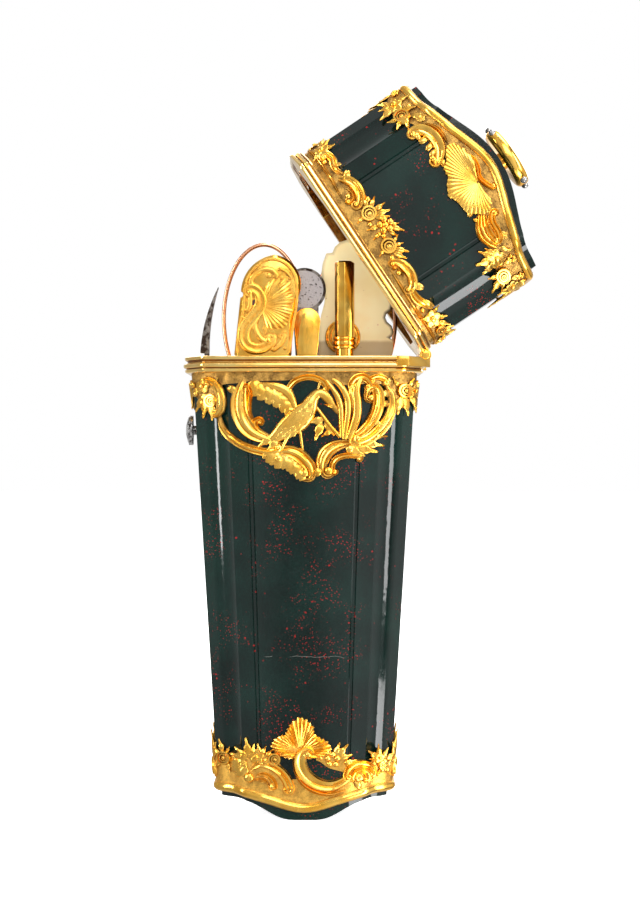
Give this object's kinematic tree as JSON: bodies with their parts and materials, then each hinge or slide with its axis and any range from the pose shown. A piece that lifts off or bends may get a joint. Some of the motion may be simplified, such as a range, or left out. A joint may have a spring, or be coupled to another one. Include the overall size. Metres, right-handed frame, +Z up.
{
  "type": "rococo etui",
  "caption": "Tapered oblong etui of dark green stone in pierced gold mounts, hinged domed lid, push-button catch, fitted toilet implements.",
  "frame": {"origin": "middle of the small flat foot under the base stone", "axes": "+Z up along the case, +X across the front towards the hinge, +Y to the back"},
  "size_m": [0.059, 0.0254, 0.1229],
  "materials": {
    "green_stone": "polished dark green stone with small red specks",
    "polished_gold": "polished yellow gold",
    "chased_gold": "chased gold relief with matted ground",
    "gilt_lining": "dull gilt sheet",
    "copper_gold": "polished reddish gold wire",
    "steel": "worn polished steel",
    "dark_steel": "pitted dark steel",
    "silver": "tarnished silver",
    "lead": "graphite",
    "lined_wood": "wood block under thin dark lining",
    "old_mirror": "old mirror with grey specks",
    "ivory": "smooth cream tablets",
    "cut_stone": "clear faceted stones"
  },
  "bodies": {
    "case": {"body_front_panel": "green_stone", "body_back_panel": "green_stone", "body_left_side": "green_stone", "body_right_side": "green_stone", "body_front_left_flute": "green_stone", "body_front_right_flute": "green_stone", "body_back_left_flute": "green_stone", "body_back_right_flute": "green_stone", "base_stone": "green_stone", "body_liner": "gilt_lining", "body_rim": "polished_gold", "hinge_lug": "polished_gold", "hinge_pin": "polished_gold", "upper_mount": "chased_gold", "lower_mount": "chased_gold", "mount_nails": "polished_gold", "tool_block": "lined_wood", "latch_rivet": "steel"},
    "lid": {"lid_front_panel": "green_stone", "lid_back_panel": "green_stone", "lid_left_side": "green_stone", "lid_right_side": "green_stone", "lid_front_left_flute": "green_stone", "lid_front_right_flute": "green_stone", "lid_back_left_flute": "green_stone", "lid_back_right_flute": "green_stone", "lid_cap_stone": "green_stone", "lid_liner": "gilt_lining", "lid_rim": "polished_gold", "lid_knuckle": "polished_gold", "catch_plate": "polished_gold", "lid_lower_mount": "chased_gold", "lid_upper_mount": "chased_gold", "knob_stem": "polished_gold", "knob": "polished_gold", "knob_stones": "cut_stone"},
    "button": {"button_collet": "silver", "button_stone": "cut_stone"},
    "latch": {"latch_spring": "dark_steel"},
    "knife": {"knife_handle": "chased_gold", "knife_blade": "steel"},
    "mirror": {"mirror_frame": "steel", "mirror_glass": "old_mirror"},
    "tweezers": {"tweezers": "polished_gold"},
    "tablets": {"tablet_leaf_1": "ivory", "tablet_leaf_2": "ivory", "tablet_leaf_3": "ivory", "tablet_leaf_4": "ivory", "tablet_rosette": "chased_gold"},
    "pencil": {"pencil_tube": "polished_gold", "pencil_collar": "polished_gold", "pencil_stem": "steel", "pencil_lead": "lead"},
    "scissors": {"left_bow": "copper_gold", "right_bow": "copper_gold", "front_scissor_half": "steel", "back_scissor_half": "steel", "scissor_screw": "steel"}
  },
  "joints": [
    {"name": "lid_hinge", "type": "hinge", "parent": "case", "child": "lid", "pos_m": [0.0202, 0, 0.0773], "axis": [0, 1, 0], "range_deg": [-56.2, 44]},
    {"name": "button_press", "type": "slide", "parent": "case", "child": "button", "axis": [1, 0, 0], "range_m": [0, 0.0006], "stiffness_N_per_m": 400},
    {"name": "latch_flex", "type": "hinge", "parent": "case", "child": "latch", "pos_m": [-0.0153, 0, 0.0439], "axis": [0, 1, 0], "range_deg": [0, 1.65]},
    {"name": "knife_lift", "type": "slide", "parent": "case", "child": "knife", "axis": [0, 0, 1], "range_m": [0, 0.014]},
    {"name": "mirror_lift", "type": "slide", "parent": "case", "child": "mirror", "axis": [0, 0, 1], "range_m": [0, 0.014]},
    {"name": "tweezers_lift", "type": "slide", "parent": "case", "child": "tweezers", "axis": [0, 0, 1], "range_m": [0, 0.014]},
    {"name": "tablets_lift", "type": "slide", "parent": "case", "child": "tablets", "axis": [0, 0, 1], "range_m": [0, 0.014]},
    {"name": "pencil_lift", "type": "slide", "parent": "case", "child": "pencil", "axis": [0, 0, 1], "range_m": [0, 0.014]},
    {"name": "scissors_lift", "type": "slide", "parent": "case", "child": "scissors", "axis": [0, 0, 1], "range_m": [0, 0.014]}
  ],
  "couplings": [
    {"joint": "latch_flex", "follows": "button_press", "rad_per_m": 47.847}
  ]
}
